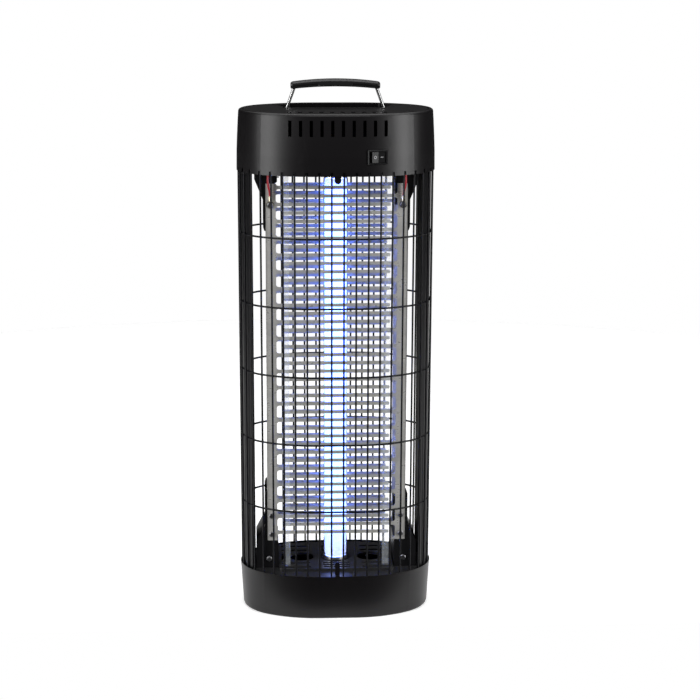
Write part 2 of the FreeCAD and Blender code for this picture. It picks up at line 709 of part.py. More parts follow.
def upper_deck():
    """Floor of the top housing, with the posts that the lid screws to."""
    deck = oval_prism(upper_deck_z, upper_deck_top, 5.3)
    posts = both_sides(cylinder(4.0, lid_z - upper_deck_top, V(lid_screw_x, lid_screw_y, upper_deck_top)))
    bosses = [cylinder(3.4, lamp_low + lamp_high - ear_high - upper_deck_top, V(x, 0, upper_deck_top))
              for x in (-ear_x, ear_x)]
    deck = deck.multiFuse(posts + bosses)
    cuts = [cylinder(holder_r + 0.2, 20, V(0, 0, upper_deck_z - 5))]
    cuts += both_sides(cylinder(4.2, 10, V(lead_hole_x, lead_hole_y, upper_deck_z - 3)))
    cuts += both_sides(cylinder(1.5, 12, V(lid_screw_x, lid_screw_y, lid_z - 11)))
    cuts += [cylinder(1.5, 12, V(x, 0, upper_deck_z - 3)) for x in (-ear_x, ear_x)]
    cuts += [cylinder(1.8, 10, place + V(0, 0, upper_deck_z - 3)) for place in housing_boss_places()]
    return cut_all(deck, cuts)


def housing_screws():
    seats = [place + V(0, 0, upper_deck_z) for place in housing_boss_places()]
    return [pan_screw(3.0, 1.6, screw_hole_r, 12, seat, Z_AXIS) for seat in seats]


# ---- base ----
base_profile = [(0.3, 5.0), (1.0, 4.1), (3.0, 3.5), (rim_z, 0.8)]
socket_low, socket_inside = 41.0, 8.5      # the ring that the guard wires stand in
rim_tab_half, rim_tab_thick, rim_tab_top = 2.4, 2.2, 61.5


def base_outer():
    return oval_loft(base_profile)


def tray_opening(clear):
    half_x = tray_half_x + clear
    return box(-half_x, half_x, 20, half_depth + 5, tray_low - clear, tray_high + clear)


def base_shell():
    """Wall of the base: a thin rim, a ledge with sockets for the guard wires, a flange underneath."""
    cavity = oval_prism(-1, plate_low, 10.5).fuse(oval_loft([(plate_low, 6.2), (socket_low - 3, 4.6)]))
    cavity = cavity.fuse(oval_loft([(socket_low - 3, 4.6), (socket_low, socket_inside)]))
    cavity = cavity.fuse(oval_prism(socket_low, deck_z, socket_inside))
    cavity = cavity.fuse(oval_prism(deck_z, 46.8, 4.3)).fuse(oval_prism(46.8, rim_z + 1, 1.75))
    shell = base_outer().cut(cavity)
    front = 4.4 - half_depth
    back = front + rim_tab_thick
    tab = box(-rim_tab_half, rim_tab_half, front, back, deck_top + gap, rim_tab_top)
    neck = box(-rim_tab_half, rim_tab_half, 2.0 - half_depth, back, deck_top + gap, rim_z + 1)
    root = box(-rim_tab_half, rim_tab_half, 2.0 - half_depth, front - 0.1, 46.0, rim_z + 1)
    tip = cylinder(rim_tab_half, rim_tab_thick, V(0, front, rim_tab_top), Y_AXIS)
    shell = shell.multiFuse([tab, neck, root, tip])
    sockets = []
    for index in range(wire_count):
        foot = wire_place(index, wire_low)[0]
        head = wire_place(index, wire_high)[0]
        sockets.append(cylinder(wire_r + 0.03, 9, foot, head - foot))
    return cut_all(shell, sockets + [tray_opening(0.9)])


foot_r, foot_height = 6.0, 2.5
foot_places = [V(x, y, 0) for x in (-60, 60) for y in (-36, 36)]


def base_plate():
    """Floor of the base, screwed up into the deck posts."""
    plate = oval_prism(plate_low, plate_top, 6.6)
    plate = plate.fuse(oval_prism(1.1, plate_low, 10.9))
    cuts = [cylinder(foot_r + 0.1, 1.5, place + V(0, 0, 1.0)) for place in foot_places]
    cuts += [cylinder(3.4, 1.7, place + V(0, 0, 0.9)) for place in post_places]
    cuts += [cylinder(1.7, 5, place) for place in post_places]
    return cut_all(plate, cuts)


def base_screws():
    seats = [place + V(0, 0, plate_low) for place in post_places]
    return [pan_screw(3.0, 1.4, screw_hole_r, 13, seat, Z_AXIS) for seat in seats]


def rubber_feet():
    feet = []
    for place in foot_places:
        pad = cylinder(foot_r, foot_height, place)
        lower = [e for e in pad.Edges if abs(e.CenterOfMass.z) < 1e-6 and e.Length > 20]
        feet.append(pad.makeChamfer(0.5, lower[:1]))
    return feet


def collection_tray():
    """Shallow drawer whose back is a piece of the base wall, with a finger recess."""
    body = round_box(-tray_half_x, tray_half_x, tray_front_y, tray_back_y, tray_low, tray_high, 6)
    inner_x = tray_half_x - tray_wall
    hollow = round_box(-inner_x, inner_x, tray_front_y + tray_wall, tray_back_y - tray_wall,
                       tray_low + tray_wall, tray_high + 1, 5)
    body = body.cut(hollow)
    body = body.cut(box(-26, 26, tray_front_y - 1, tray_front_y + 3, 20, tray_high + 1))
    face = base_outer().cut(oval_prism(0, rim_z, 7.5)).common(tray_opening(0.0))
    link = oval_prism(tray_low, tray_high, 7.4)
    link = link.common(box(-tray_half_x, tray_half_x, tray_back_y - 1.5, half_depth, tray_low, tray_high))
    body = body.multiFuse([link, face])
    return body.cut(round_box(-16, 16, half_depth - 9, half_depth + 6, 14, 27, 3))


# ---- electrics in the top housing ----
board_low, board_top = 500.0, 501.6
core_top = 520.0
can_r, can_height = 4.6, 17.0
ballast_top = 512.0


def power_board():
    return round_box(-52, 52, 20, 44, board_low, board_top, 2)


def board_posts():
    places = [V(x, y, upper_deck_top) for x in (-44, 44) for y in (24, 40)]
    return [cylinder(2.6, board_low - upper_deck_top, place) for place in places]


def transformer_core():
    core = box(-12, 12, 21, 43, board_top, core_top)
    return core.cut(box(-8, 8, 20, 50, board_top + 4, core_top - 4))


def transformer_winding():
    return round_box(-7.7, 7.7, 24, 40, board_top + 4, core_top - 4, 2)


def capacitors():
    cans = []
    for x in (-34.0, -22.0, 22.0, 34.0):
        can = cylinder(can_r, can_height, V(x, 32, board_top))
        upper = [e for e in can.Edges if e.CenterOfMass.z > board_top + can_height - 1e-6 and e.Length > 10]
        cans.append(can.makeFillet(0.8, upper[:1]))
    return cans


def lamp_ballast():
    case = round_box(-54, -24, -42, -12, upper_deck_top, ballast_top, 2)
    return case.cut(box(-49, -29, -37, -17, ballast_top - 1, ballast_top + 1))


def cord_gland():
    """Bush in the rear wall that the mains cord would pass through."""
    point, outward = gland_frame()
    bush = cylinder(gland_r - 0.05, 9.0, point - outward * 7.0, outward)
    collar = cylinder(gland_r + 2.0, 2.0, point + outward * 0.25, outward)
    return bush.fuse(collar).cut(cylinder(3.6, 20, point - outward * 12, outward))


def main():
    export("top_housing", top_housing())
    export("top_lid", top_lid())
    export("lid_screws", lid_screws())
    export("housing_screws", housing_screws())
    bail = handle_bail()
    export("handle_bail", bail)
    export("handle_grip", handle_grip(bail))
    export("switch_body", switch_body())
    export("power_rocker", power_rocker())
    export("switch_terminals", switch_terminals())
    export("cord_gland", cord_gland())
    export("guard_wires", guard_wires())
    for number, z in enumerate(ring_levels, 1):
        export("guard_ring_%d" % number, guard_ring(z))
    for side, name in ((-1, "left"), (1, "right")):
        for front, row in ((True, "front"), (False, "rear")):
            export("%s_%s_comb" % (name, row), comb(side, front))
            export("%s_%s_spacer" % (name, row), finger_spacer(side, front))
        export("%s_comb_web" % name, comb_web(side))
        for level, shape in (("lower", lower_insulator()), ("upper", upper_insulator())):
            export("%s_%s_insulator" % (name, level), shape if side > 0 else mirror_x(shape))
        export("%s_high_voltage_lead" % name, high_voltage_lead(side))
        column = side_column()
        export("%s_side_column" % name, column if side > 0 else mirror_x(column))
    export("comb_screws", comb_screws())
    export("foot_screws", foot_screws())
    export("ring_terminals", ring_terminals())
    export("uv_lamp", uv_lamp())
    export("lamp_caps", lamp_caps())
    export("lamp_pins", lamp_pins())
    export("lower_lamp_holder", lower_holder())
    export("upper_lamp_holder", turn_over(lower_holder()))
    export("lower_lamp_rotor", lower_rotor())
    export("upper_lamp_rotor", turn_over(lower_rotor()))
    export("holder_screws", holder_screws())
    export("upper_deck", upper_deck())
    export("base_deck", base_deck())
    export("base_shell", base_shell())
    export("base_plate", base_plate())
    export("base_screws", base_screws())
    export("rubber_feet", rubber_feet())
    export("collection_tray", collection_tray())
    export("power_board", power_board())
    export("board_posts", board_posts())
    export("transformer_core", transformer_core())
    export("transformer_winding", transformer_winding())
    export("capacitors", capacitors())
    export("lamp_ballast", lamp_ballast())


main()
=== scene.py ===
import json
import math

import bmesh
import bpy
from mathutils import Matrix, Vector


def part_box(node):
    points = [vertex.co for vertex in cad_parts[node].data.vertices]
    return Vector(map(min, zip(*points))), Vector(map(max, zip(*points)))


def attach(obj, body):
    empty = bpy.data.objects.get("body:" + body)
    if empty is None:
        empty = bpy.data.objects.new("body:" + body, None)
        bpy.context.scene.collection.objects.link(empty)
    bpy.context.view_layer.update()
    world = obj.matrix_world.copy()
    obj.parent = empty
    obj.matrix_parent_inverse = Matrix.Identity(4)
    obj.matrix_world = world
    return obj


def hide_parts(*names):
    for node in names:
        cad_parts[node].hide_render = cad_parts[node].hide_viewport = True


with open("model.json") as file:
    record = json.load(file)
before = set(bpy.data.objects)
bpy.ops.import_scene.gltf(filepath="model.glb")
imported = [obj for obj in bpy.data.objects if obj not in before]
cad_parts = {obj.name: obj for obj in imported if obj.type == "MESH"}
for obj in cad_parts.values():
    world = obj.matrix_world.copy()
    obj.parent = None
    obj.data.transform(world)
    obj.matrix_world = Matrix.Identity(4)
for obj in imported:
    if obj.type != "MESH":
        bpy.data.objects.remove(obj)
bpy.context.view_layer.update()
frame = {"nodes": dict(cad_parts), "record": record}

nodes = frame["nodes"]
mm = 0.001


# a socket that can be used in plain sums
class Wire:
    def __init__(self, finish, socket):
        self.finish = finish
        self.socket = socket

    def maths(self, operation, first, second):
        return self.finish.add("ShaderNodeMath", {"operation": operation}, {0: first, 1: second})

    def __add__(self, other):
        return self.maths("ADD", self, other)

    def __radd__(self, other):
        return self.maths("ADD", other, self)

    def __sub__(self, other):
        return self.maths("SUBTRACT", self, other)

    def __rsub__(self, other):
        return self.maths("SUBTRACT", other, self)

    def __mul__(self, other):
        return self.maths("MULTIPLY", self, other)

    def __rmul__(self, other):
        return self.maths("MULTIPLY", other, self)

    def __gt__(self, other):
        return self.maths("GREATER_THAN", self, other)


# one material, with helpers for the patterns that the zapper's finishes share
class Finish:
    def __init__(self, name):
        self.material = bpy.data.materials.new(name)
        self.material.use_nodes = True
        self.tree = self.material.node_tree
        self.tree.nodes.clear()
        self.place = self.add("ShaderNodeTexCoord", output="Object")

    def add(self, kind, settings=None, sockets=None, output=0):
        node = self.tree.nodes.new(kind)
        for key, value in (settings or {}).items():
            if key == "stops":
                while len(node.color_ramp.elements) < len(value):
                    node.color_ramp.elements.new(0.5)
                for element, (position, colour) in zip(node.color_ramp.elements, value):
                    element.position = position
                    element.color = (*colour, 1.0)
            else:
                setattr(node, key, value)
        for key, value in (sockets or {}).items():
            if isinstance(value, Wire):
                self.tree.links.new(value.socket, node.inputs[key])
            else:
                node.inputs[key].default_value = value
        return Wire(self, node.outputs[output])

    def noise(self, scale, detail=3.0, roughness=0.55, place=None):
        return self.add("ShaderNodeTexNoise", None, {"Vector": place or self.place, "Scale": scale,
                                                     "Detail": detail, "Roughness": roughness})

    def stretched(self, scale):
        return self.add("ShaderNodeMapping", None, {"Vector": self.place, "Scale": scale})

    def cells(self, scale, output="Distance", place=None):
        sockets = {"Vector": place or self.place, "Scale": scale}
        return self.add("ShaderNodeTexVoronoi", None, sockets, output)

    def band(self, value, low, high, start=0.0, end=1.0):
        return self.add("ShaderNodeMapRange", {"interpolation_type": "SMOOTHSTEP"},
                        {"Value": value, "From Min": low, "From Max": high,
                         "To Min": start, "To Max": end})

    def axis(self, letter):
        return self.add("ShaderNodeSeparateXYZ", None, {0: self.place}, letter)

    def mix(self, share, first, second):
        first = first if isinstance(first, Wire) else (*first, 1.0)
        second = second if isinstance(second, Wire) else (*second, 1.0)
        return self.add("ShaderNodeMix", {"data_type": "RGBA"}, {0: share, 6: first, 7: second}, 2)

    def bump(self, height, strength, distance, under=None):
        sockets = {"Height": height, "Strength": strength, "Distance": distance}
        if under:
            sockets["Normal"] = under
        return self.add("ShaderNodeBump", None, sockets)

    def surface(self, sockets):
        shader = self.add("ShaderNodeBsdfPrincipled", None, sockets)
        output = self.tree.nodes.new("ShaderNodeOutputMaterial")
        self.tree.links.new(shader.socket, output.inputs["Surface"])
        return self.material


print("finishes")


# spark-eroded moulded plastic: fine grain, faint flow clouds, a few handling scuffs
def mouldedPlastic(name, colour, rough, grain=0.16, specular=0.5, scuff=0.5):
    f = Finish(name)
    clouds = f.noise(9.0, 2.0)
    speck = f.noise(1500.0, 2.0)
    scuffs = f.band(f.noise(60.0, 6.0, 0.7, f.stretched((1.0, 1.0, 0.25))), 0.62, 0.74)
    lighter = tuple(c * 1.4 + 0.0008 for c in colour)
    tone = f.mix(f.band(clouds, 0.3, 0.7, 0.0, 0.5), colour, lighter)
    tone = f.mix(scuffs * (0.2 * scuff), tone, tuple(c * 2.5 + 0.012 for c in colour))
    roughness = rough + (clouds - 0.5) * 0.06 + (speck - 0.5) * 0.05 + scuffs * (0.1 * scuff)
    return f.surface({"Base Color": tone, "Roughness": roughness, "Specular IOR Level": specular,
                      "Normal": f.bump(speck, grain, 0.12 * mm, f.bump(clouds, 0.05, 0.4 * mm))})


# zinc-coated steel sheet: large soft spangle, rolling lines, greyer specks
def zincSheet(name, colour, rough):
    f = Finish(name)
    spangle = f.cells(260.0, "Color")
    spangleTone = f.add("ShaderNodeRGBToBW", None, {0: spangle})
    rolling = f.noise(900.0, 3.0, 0.6, f.stretched((0.08, 1.0, 1.0)))
    stains = f.band(f.noise(45.0, 4.0), 0.45, 0.7)
    tone = f.mix(spangleTone * 0.6, colour, tuple(c * 0.78 for c in colour))
    tone = f.mix(stains * 0.45, tone, tuple(c * 0.5 for c in colour))
    roughness = rough + spangleTone * 0.08 + (rolling - 0.5) * 0.1 + stains * 0.08
    return f.surface({"Base Color": tone, "Metallic": 0.6, "Roughness": roughness,
                      "Normal": f.bump(rolling, 0.12, 0.05 * mm, f.bump(spangleTone, 0.08, 0.05 * mm))})


# polished or plated metal with fine drawing lines along the part
def platedMetal(name, colour, rough, along=(1.0, 1.0, 0.1), wear=0.3):
    f = Finish(name)
    lines = f.noise(1600.0, 2.0, 0.5, f.stretched(along))
    smears = f.band(f.noise(120.0, 4.0), 0.45, 0.75)
    tone = f.mix(smears * wear, colour, tuple(c * 0.7 for c in colour))
    roughness = rough + smears * 0.1 + (lines - 0.5) * 0.06
    return f.surface({"Base Color": tone, "Metallic": 1.0, "Roughness": roughness,
                      "Normal": f.bump(lines, 0.1, 0.03 * mm)})


# thick baked coating on steel wire, slightly orange-peeled
def bakedCoat(name, colour, rough):
    f = Finish(name)
    peel = f.noise(700.0, 2.0, 0.4)
    thin = f.band(f.noise(220.0, 4.0), 0.6, 0.78)
    tone = f.mix(thin * 0.4, colour, tuple(c * 2.0 + 0.012 for c in colour))
    return f.surface({"Base Color": tone, "Roughness": rough + (peel - 0.5) * 0.12,
                      "Specular IOR Level": 0.22, "Coat Weight": 0.05, "Coat Roughness": 0.25,
                      "Normal": f.bump(peel, 0.25, 0.08 * mm)})


# clear polycarbonate with faint moulding haze
def clearPlastic(name, tint):
    f = Finish(name)
    haze = f.noise(180.0, 3.0)
    return f.surface({"Base Color": f.mix(haze * 0.3, tint, (1.0, 1.0, 1.0)),
                      "Alpha": f.band(haze, 0.3, 0.8, 0.08, 0.17), "IOR": 1.58,
                      "Roughness": f.band(haze, 0.4, 0.8, 0.06, 0.18),
                      "Normal": f.bump(haze, 0.05, 0.2 * mm)})


# extruded soft PVC sleeve
def softSleeve(name, colour):
    f = Finish(name)
    skin = f.noise(800.0, 3.0, 0.5)
    dust = f.band(f.noise(140.0, 5.0), 0.55, 0.8)
    tone = f.mix(dust * 0.35, colour, tuple(c * 0.7 + 0.03 for c in colour))
    return f.surface({"Base Color": tone, "Roughness": 0.34 + dust * 0.2,
                      "Subsurface Weight": 0.05, "Subsurface Radius": (0.002, 0.0005, 0.0005),
                      "Normal": f.bump(skin, 0.15, 0.06 * mm)})


# black rubber with a dusty bloom
def dustyRubber(name):
    f = Finish(name)
    grain = f.noise(1100.0, 4.0, 0.6)
    bloom = f.band(f.noise(90.0, 5.0), 0.45, 0.8)
    tone = f.mix(bloom * 0.5, (0.012, 0.012, 0.012), (0.05, 0.048, 0.045))
    return f.surface({"Base Color": tone, "Roughness": 0.7 + bloom * 0.15,
                      "Normal": f.bump(grain, 0.3, 0.1 * mm)})


# glass-fibre board with copper tracks under the green mask
def circuitBoard(name):
    f = Finish(name)
    weave = f.cells(900.0)
    tracks = f.cells(170.0, "Distance", f.stretched((1.0, 0.35, 1.0))) > 0.42
    tone = f.mix(tracks * 0.55, (0.01, 0.11, 0.035), (0.05, 0.24, 0.07))
    return f.surface({"Base Color": f.mix(weave * 0.2, tone, (0.03, 0.15, 0.05)),
                      "Roughness": 0.32 + weave * 0.1, "Coat Weight": 0.3,
                      "Normal": f.bump(tracks, 0.3, 0.05 * mm)})


# stacked steel laminations, seen as fine lines along the core
def laminations(name):
    f = Finish(name)
    sheets = f.add("ShaderNodeTexWave", {"bands_direction": "Y"},
                   {"Vector": f.place, "Scale": 320.0, "Distortion": 0.4})
    rust = f.band(f.noise(130.0, 4.0), 0.55, 0.75)
    tone = f.mix(rust * 0.5, (0.27, 0.27, 0.28), (0.2, 0.13, 0.08))
    return f.surface({"Base Color": tone, "Metallic": 1.0 - rust * 0.6, "Roughness": 0.42 + rust * 0.25,
                      "Normal": f.bump(sheets, 0.5, 0.1 * mm)})


# overlapping turns of yellow insulating tape
def woundTape(name):
    f = Finish(name)
    turns = f.add("ShaderNodeTexWave", {"bands_direction": "Z"},
                  {"Vector": f.place, "Scale": 110.0, "Distortion": 1.2})
    tone = f.mix(turns, (0.62, 0.42, 0.06), (0.78, 0.58, 0.12))
    return f.surface({"Base Color": tone, "Roughness": 0.3 + turns * 0.15,
                      "Normal": f.bump(turns, 0.4, 0.1 * mm)})


# brushed end cap of the tube, with a row of crimp marks round it
def crimpedCap(name):
    f = Finish(name)
    x, y = f.axis("X"), f.axis("Y")
    angle = f.add("ShaderNodeMath", {"operation": "ARCTAN2"}, {0: y, 1: x})
    ribs = f.add("ShaderNodeMath", {"operation": "SINE"}, {0: angle * 24.0})
    brushed = f.noise(1400.0, 2.0, 0.5, f.stretched((1.0, 1.0, 6.0)))
    tone = f.mix(brushed * 0.4, (0.72, 0.72, 0.73), (0.55, 0.55, 0.57))
    return f.surface({"Base Color": tone, "Metallic": 1.0, "Roughness": 0.28 + brushed * 0.12,
                      "Normal": f.bump(ribs, 0.15, 0.15 * mm, f.bump(brushed, 0.1, 0.03 * mm))})


slotMaterials = {
    "housing_black": mouldedPlastic("housing_black_abs", (0.0026, 0.0021, 0.0026), 0.37, 0.16, 0.32),
    "inner_black": mouldedPlastic("inner_black_abs", (0.003, 0.003, 0.0036), 0.42, 0.2, 0.3),
    "switch_black": mouldedPlastic("switch_black_nylon", (0.004, 0.004, 0.0045), 0.38, 0.08, 0.2),
    "grip_black": mouldedPlastic("grip_black_nylon", (0.006, 0.006, 0.006), 0.34, 0.2, 0.5, 1.0),
    "bright_wire": platedMetal("bright_chrome_wire", (0.36, 0.36, 0.36), 0.26),
    "guard_black": bakedCoat("guard_black_coat", (0.002, 0.002, 0.0035), 0.46),
    "galvanised": zincSheet("zinc_comb_sheet", (0.80, 0.79, 0.76), 0.26),
    "clear_strip": clearPlastic("clear_strip_plastic", (0.86, 0.93, 1.0)),
    "screw_steel": platedMetal("screw_zinc_steel", (0.34, 0.34, 0.36), 0.3, (1.0, 1.0, 1.0), 0.5),
    "terminal_brass": platedMetal("terminal_tinned_brass", (0.74, 0.68, 0.52), 0.26, (1.0, 1.0, 1.0), 0.5),
    "lead_red": softSleeve("lead_red_pvc", (0.42, 0.018, 0.03)),
    "lamp_aluminium": crimpedCap("lamp_end_aluminium"),
    "foot_rubber": dustyRubber("foot_black_rubber"),
    "board_green": circuitBoard("board_green_mask"),
    "post_white": mouldedPlastic("post_white_nylon", (0.68, 0.68, 0.66), 0.45, 0.1, 0.4, 0.3),
    "core_steel": laminations("core_steel_laminations"),
    "winding_tape": woundTape("winding_yellow_tape"),
    "capacitor_blue": softSleeve("capacitor_blue_sleeve", (0.02, 0.06, 0.3)),
    "ballast_grey": bakedCoat("ballast_grey_enamel", (0.3, 0.31, 0.32), 0.42),
}

slotOf = {part["node"]: part["material_slot"] for part in frame["record"]["subparts"]}

# the floor grille is painted lighter than the housing for the light that falls on it, and the lid's screws
# are painted dark for the shade in their recesses
special = {
    "base_deck": mouldedPlastic("deck_grille_abs_painted_light", (0.017, 0.017, 0.018), 0.36, 0.16, 0.42),
    # painted shade: the lid screws are made dark for the shade inside their counterbores
    "lid_screws": platedMetal("lid_screw_painted_recess_shade", (0.05, 0.05, 0.052), 0.35, (1.0, 1.0, 1.0), 0.5),
}

for name, obj in nodes.items():
    finish = special.get(name) or slotMaterials.get(slotOf[name])
    if not finish:
        continue  # the glass tube is made below
    if not obj.material_slots:
        obj.data.materials.append(finish)
    for place in obj.material_slots:
        place.material = finish


mergeDistance = 1e-6


# merges the mesh, turns its faces outwards and lets the piece ride on a body
def makePiece(name, mesh, material, body, smooth=True):
    bmesh.ops.remove_doubles(mesh, verts=mesh.verts, dist=mergeDistance)
    bmesh.ops.recalc_face_normals(mesh, faces=mesh.faces)
    data = bpy.data.meshes.new(name)
    mesh.to_mesh(data)
    mesh.free()
    data.materials.append(material)
    for face in data.polygons:
        face.use_smooth = smooth
    obj = bpy.data.objects.new(name, data)
    bpy.context.scene.collection.objects.link(obj)
    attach(obj, body)
    return obj


# turns an outline of (radius, height) pairs round the upright axis
def spunShape(profile, steps):
    mesh = bmesh.new()
    line = [mesh.verts.new((r, 0.0, z)) for r, z in profile]
    edges = [mesh.edges.new(pair) for pair in zip(line, line[1:])]
    bmesh.ops.spin(mesh, geom=line + edges, cent=(0, 0, 0), axis=(0, 0, 1), dvec=(0, 0, 0),
                   angle=2 * math.pi, steps=steps, use_merge=True, use_duplicate=False)
    return mesh


print("lamp")
lampLook = {"steps": 64, "glassWall": 0.9 * mm, "coating": 0.15 * mm, "coatTrim": 1.0 * mm,
            "neck": 0.6 * mm, "shoulder": 2.6 * mm, "glow": 9.0,
            "lowFade": (4 * mm, 42 * mm), "highFade": (0.0, 14 * mm)}
lampLow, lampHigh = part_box("uv_lamp")
lampRadius = (lampHigh.x - lampLow.x) / 2
glassLow, glassHigh = lampLow.z, lampHigh.z


# half of the tube's outline: full width in the middle, drawn in a little at each end
def tubeProfile(radius, trim):
    low, high = glassLow + trim, glassHigh - trim
    neck, shoulder = lampLook["neck"], lampLook["shoulder"]
    lower = [(radius - neck, low), (radius - neck, low + shoulder * 0.3),
             (radius - neck * 0.5, low + shoulder * 0.65),
             (radius - neck * 0.1, low + shoulder * 0.9), (radius, low + shoulder * 1.2)]
    upper = [(r, high - (z - low)) for r, z in reversed(lower)]
    return lower + upper


# faintly blue drawn glass
def tubeGlass():
    f = Finish("lamp_tube_glass")
    streaks = f.noise(90.0, 3.0, 0.5, f.stretched((1.0, 1.0, 0.1)))
    return f.surface({"Base Color": f.mix(streaks * 0.3, (0.84, 0.90, 1.0), (0.90, 0.94, 1.0)),
                      "Transmission Weight": 1.0, "IOR": 1.5,
                      "Roughness": f.band(streaks, 0.4, 0.8, 0.02, 0.08)})


# powder coating inside the glass: bright blue-white in the middle, dim towards the ends
def tubePhosphor():
    f = Finish("lamp_tube_phosphor")
    height = f.axis("Z")
    grain = f.noise(700.0, 3.0)
    lowDim, lowBright = lampLook["lowFade"]
    ends = f.band(height, glassLow + lowDim, glassLow + lowBright)
    ends = ends * f.band(glassHigh - height, *lampLook["highFade"])
    glow = f.mix(ends, (0.075, 0.085, 0.14), (0.12, 0.22, 1.0))
    return f.surface({"Base Color": f.mix(grain * 0.3, (0.80, 0.82, 0.88), (0.70, 0.72, 0.82)),
                      "Roughness": 0.8, "Emission Color": glow,
                      "Emission Strength": lampLook["glow"]})


glassMesh = spunShape(tubeProfile(lampRadius, 0.0), lampLook["steps"])
bmesh.ops.recalc_face_normals(glassMesh, faces=glassMesh.faces)
bmesh.ops.solidify(glassMesh, geom=glassMesh.faces[:], thickness=lampLook["glassWall"])
lampGlass = makePiece("lamp_tube_glass", glassMesh, tubeGlass(), "lamp")
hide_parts("uv_lamp")
inside = lampRadius - lampLook["glassWall"] - lampLook["coating"]
phosphorMesh = spunShape(tubeProfile(inside, lampLook["coatTrim"]), lampLook["steps"])
makePiece("lamp_tube_phosphor", phosphorMesh, tubePhosphor(), "lamp")


print("grip")
# ends and centre: how far the underside and the top lie below the grip's highest point
gripLook = {"steps": 36, "corners": 12, "middle": 16.5 * mm, "blend": 2.0 * mm,
            "endRound": 3.0 * mm, "endShrink": 0.42, "ends": (10.8 * mm, 3.4 * mm),
            "centre": (8.0 * mm, 0.0), "edge": 0.35 * mm, "edgeSegments": 2, "edgeAngle": 24}
gripLow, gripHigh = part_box("handle_grip")
gripEnds = tuple(gripHigh.z - drop for drop in gripLook["ends"])
gripMiddle = tuple(gripHigh.z - drop for drop in gripLook["centre"])


# arched moulding: bevelled lower edges on both side sections, a plain fuller middle
def buildGrip():
    mesh = bmesh.new()
    made = bmesh.ops.create_circle(mesh, cap_ends=True, radius=1.0, segments=gripLook["corners"],
                                   matrix=Matrix.Rotation(math.radians(90), 4, "Y"))
    ring = made["verts"]
    half = gripHigh.x
    depth = (gripHigh.y - gripLow.y) / 2
    centreY = (gripHigh.y + gripLow.y) / 2
    bevelled = [(0.55, 1.0), (0.85, 0.86), (1.0, 0.45), (1.0, -0.05), (0.78, -0.42), (0.66, -1.0)]
    bevelled = bevelled + [(-y, z) for y, z in reversed(bevelled)]
    plain = [(0.55, 1.0), (0.85, 0.86), (1.0, 0.45), (1.0, -0.35), (0.97, -0.85), (0.72, -1.0)]
    plain = plain + [(-y, z) for y, z in reversed(plain)]
    ring = sorted(ring, key=lambda v: math.atan2(v.co.y, v.co.z) % (2 * math.pi))

    def settle(verts, x):
        share = (x / half) ** 2
        low = gripMiddle[0] + (gripEnds[0] - gripMiddle[0]) * share
        high = gripMiddle[1] + (gripEnds[1] - gripMiddle[1]) * share
        side = min(max((abs(x) - gripLook["middle"]) / gripLook["blend"], 0.0), 1.0)
        closing = max(0.0, (abs(x) - half + gripLook["endRound"]) / gripLook["endRound"])
        size = 1.0 - gripLook["endShrink"] * (1.0 - math.sqrt(max(0.0, 1.0 - closing ** 2)))
        for vert, (y0, z0), (y1, z1) in zip(verts, bevelled, plain):
            y = (y1 + (y0 - y1) * side) * size
            z = (z1 + (z0 - z1) * side) * size
            vert.co = (x, centreY + y * depth, (low + high) / 2 + z * (high - low) / 2)

    stations = [-half + 2 * half * (0.5 - 0.5 * math.cos(math.pi * k / gripLook["steps"]))
                for k in range(gripLook["steps"] + 1)]
    middle = gripLook["middle"]
    outer = middle + gripLook["blend"]
    stations = sorted(set(stations + [middle, -middle, outer, -outer]))
    settle(ring, stations[0])
    current = ring
    for x in stations[1:]:
        edges = [e for e in mesh.edges if all(v in current for v in e.verts)]
        grown = bmesh.ops.extrude_edge_only(mesh, edges=edges)["geom"]
        pairs = {}
        newVerts = [g for g in grown if isinstance(g, bmesh.types.BMVert)]
        for vert in newVerts:
            for edge in vert.link_edges:
                other = edge.other_vert(vert)
                if other in current:
                    pairs[other] = vert
        current = [pairs[v] for v in current]
        settle(current, x)
    mesh.faces.new(current)
    return mesh


grip = makePiece("grip_moulding", buildGrip(), slotMaterials["grip_black"], "handle", False)
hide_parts("handle_grip")
softEdges = grip.modifiers.new("softEdges", "BEVEL")
softEdges.width = gripLook["edge"]
softEdges.segments = gripLook["edgeSegments"]
softEdges.angle_limit = math.radians(gripLook["edgeAngle"])


print("switch marks")
markLook = {"ring": 1.55 * mm, "line": 0.42 * mm, "bar": (2.9 * mm, 0.5 * mm), "proud": 0.06 * mm,
            "ringSteps": 40, "barRound": 0.45, "barSegments": 4, "frontFacing": -0.7}


# pale grey print, a little worn
def markInk():
    f = Finish("switch_mark_grey")
    wear = f.noise(2500.0, 3.0)
    tone = f.mix(f.band(wear, 0.5, 0.75, 0.0, 0.4), (0.5, 0.5, 0.51), (0.32, 0.32, 0.33))
    return f.surface({"Base Color": tone, "Roughness": 0.5 + wear * 0.2})


# centre and outward direction of one of the paddle's two flats
def paddleFlat(leftSide):
    data = nodes["power_rocker"].data
    low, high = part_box("power_rocker")
    middleX = (low.x + high.x) / 2
    centre, normal, area = Vector(), Vector(), 0.0
    for face in data.polygons:
        front = face.normal.y < markLook["frontFacing"]
        if front and (face.center.x < middleX) == leftSide:
            centre += face.center * face.area
            normal += face.normal * face.area
            area += face.area
    return centre / area, normal.normalized()


# moves a mark made round the origin onto that flat
def onFlat(mesh, leftSide):
    centre, normal = paddleFlat(leftSide)
    upright = Vector((0, 0, 1))
    across = upright.cross(normal).normalized()
    turn = Matrix((across, upright, normal)).transposed().to_4x4()
    bmesh.ops.transform(mesh, verts=mesh.verts, matrix=Matrix.Translation(centre) @ turn)
    return mesh


